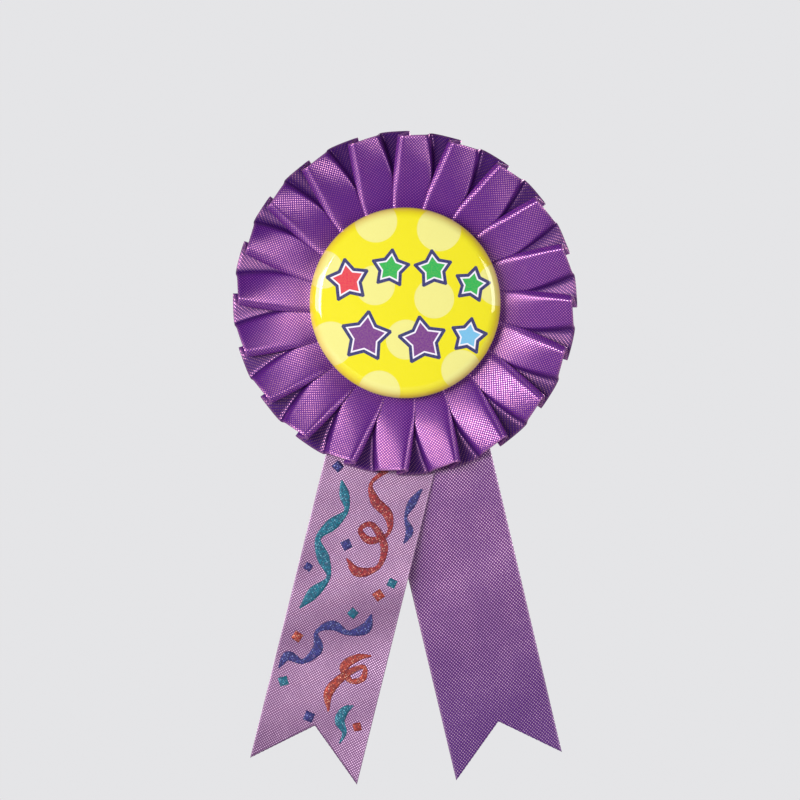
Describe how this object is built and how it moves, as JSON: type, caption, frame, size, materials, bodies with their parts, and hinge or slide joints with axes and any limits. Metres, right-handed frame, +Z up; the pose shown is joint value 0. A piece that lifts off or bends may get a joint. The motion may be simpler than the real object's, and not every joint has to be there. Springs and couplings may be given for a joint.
{
  "type": "award ribbon rosette",
  "caption": "Pleated satin ribbon rosette with a domed printed button, two fishtail ribbon tails and a bar pin with a turning safety catch on its back.",
  "frame": {"origin": "centre of the back card's rear face, on the rosette's axis, where the ribbon rests against the garment it is pinned to", "axes": "+Z up, +Y out of the back with the pin, -Y out of the button's face, +X to the right seen from the front"},
  "size_m": [0.0782, 0.0173, 0.1486],
  "materials": {
    "clear_film": "clear glossy film over yellow print",
    "printed_paper": "printed yellow with pale dots and coloured stars",
    "tinplate": "bright tinplate",
    "card": "uncoated white card",
    "glue": "set hot-melt glue, slightly translucent",
    "thread": "polyester thread",
    "purple_satin": "purple satin ribbon with a fine diagonal weave",
    "lilac_satin": "lilac satin ribbon printed with streamers and confetti",
    "nickel": "nickel plate",
    "steel": "polished steel wire"
  },
  "bodies": {
    "rosette": {"button_film": "clear_film", "button_artwork": "printed_paper", "button_shell": "tinplate", "button_back": "tinplate", "button_glue_pad": "glue", "hub_card": "card", "pleated_ribbon": "purple_satin", "pleat_thread": "thread", "centre_glue": "glue", "tail_left_top": "lilac_satin", "tail_right_top": "purple_satin", "back_card": "card", "pin_glue_pad": "glue", "pin_base": "nickel", "pin_rivet": "steel"},
    "left_tail": {"tail_left": "lilac_satin"},
    "right_tail": {"tail_right": "purple_satin"},
    "needle": {"pin_needle": "steel"},
    "catch": {"pin_catch": "nickel"}
  },
  "joints": [
    {"name": "tail_left_swing", "type": "hinge", "parent": "rosette", "child": "left_tail", "pos_m": [-0.00629, -0.0018, -0.0391], "axis": [-0.9703, 0, 0.2419], "range_deg": [0, 70]},
    {"name": "tail_right_swing", "type": "hinge", "parent": "rosette", "child": "right_tail", "pos_m": [0.008, -0.0013, -0.03921], "axis": [0.973, 0, 0.2309], "range_deg": [0, 70]},
    {"name": "needle_hinge", "type": "hinge", "parent": "rosette", "child": "needle", "pos_m": [-0.013, 0.0059, 0.008], "axis": [0, 0, 1], "range_deg": [0, 105]},
    {"name": "catch_turn", "type": "hinge", "parent": "rosette", "child": "catch", "pos_m": [0.0125, 0.0059, 0.008], "axis": [-1, 0, 0], "range_deg": [0, 90]}
  ]
}
